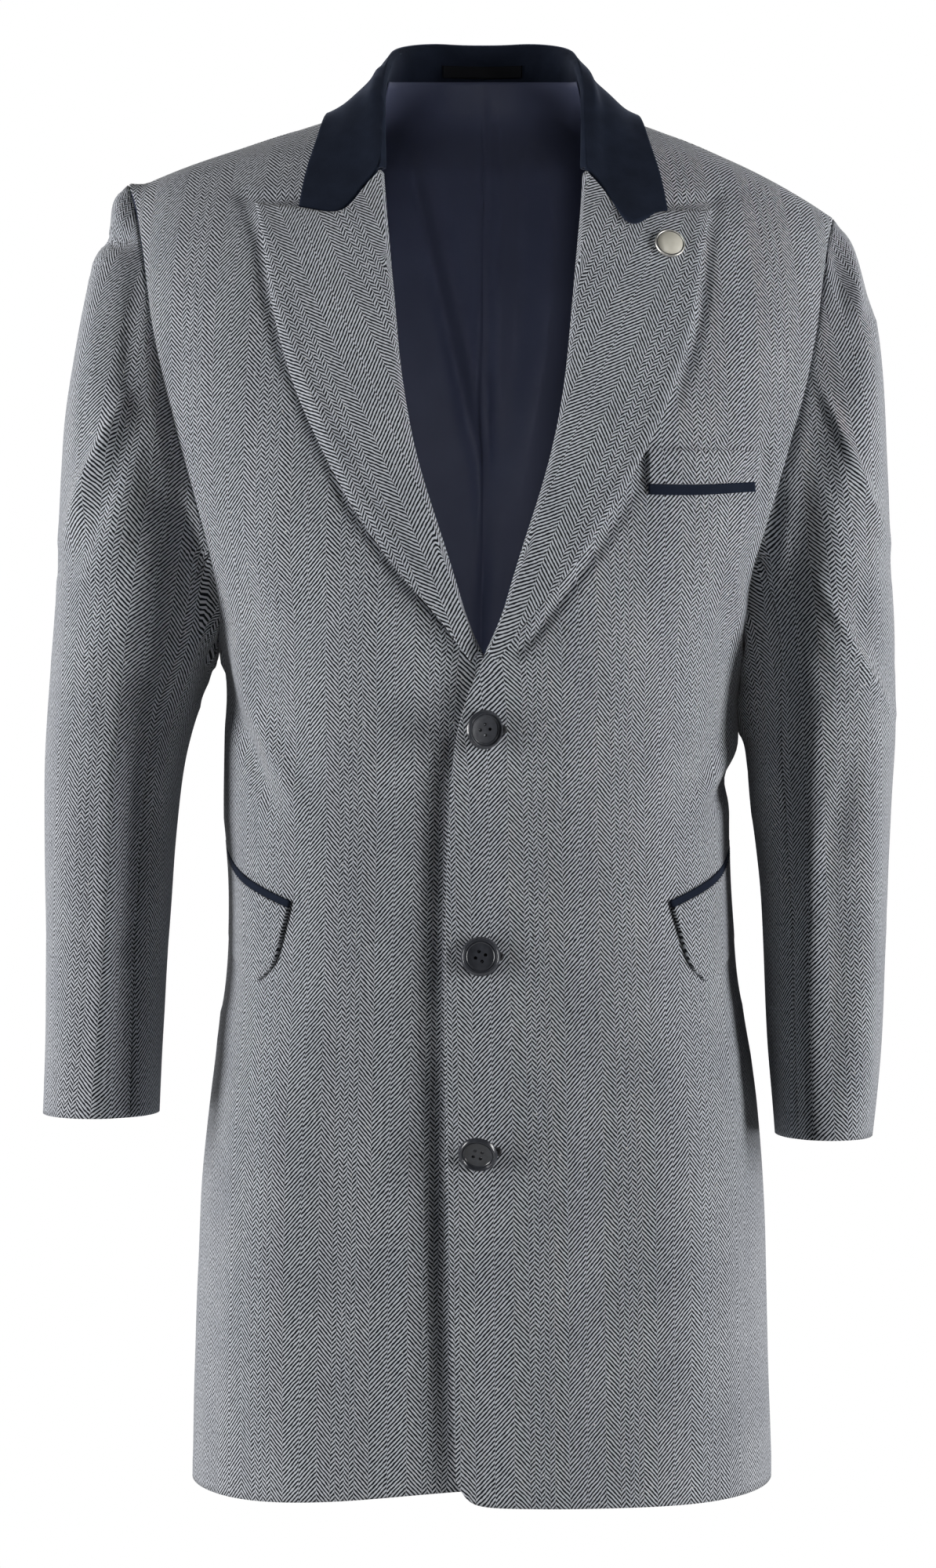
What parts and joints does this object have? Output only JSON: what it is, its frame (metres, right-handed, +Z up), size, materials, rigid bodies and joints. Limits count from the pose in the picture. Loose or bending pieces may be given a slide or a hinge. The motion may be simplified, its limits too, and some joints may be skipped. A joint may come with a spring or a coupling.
{
  "type": "overcoat",
  "caption": "Three-quarter single-breasted herringbone tweed overcoat with peak lapels and a velvet collar, hollow and filled out as worn.",
  "frame": {"origin": "centre of the neck base, at the level of the neck points, where the wearer's neck and shoulders hold the coat", "axes": "+Z up, +X to the wearer's left, the front faces -Y"},
  "size_m": [0.5686, 0.325, 0.9706],
  "materials": {
    "tweed": "napped wool tweed in a grey herringbone",
    "velvet": "near-black navy cotton velvet",
    "satin": "dark navy satin lining",
    "button": "glossy black with a raised rim",
    "pin": "steel rim with a cream enamel face"
  },
  "bodies": {
    "root": {"front_left": "tweed", "front_right": "tweed", "back_left": "tweed", "back_right": "tweed", "sleeve_upper_left": "tweed", "sleeve_upper_right": "tweed", "sleeve_under_left": "tweed", "sleeve_under_right": "tweed", "lapel_left": "tweed", "lapel_right": "tweed", "collar": "velvet", "hanger_loop": "satin", "lining_back": "satin", "chest_welt": "tweed", "chest_trim": "velvet", "hip_flap_left": "tweed", "hip_flap_right": "tweed", "hip_trim_left": "velvet", "hip_trim_right": "velvet", "button_1": "button", "button_2": "button", "button_3": "button", "lapel_pin": "pin"}
  },
  "joints": []
}
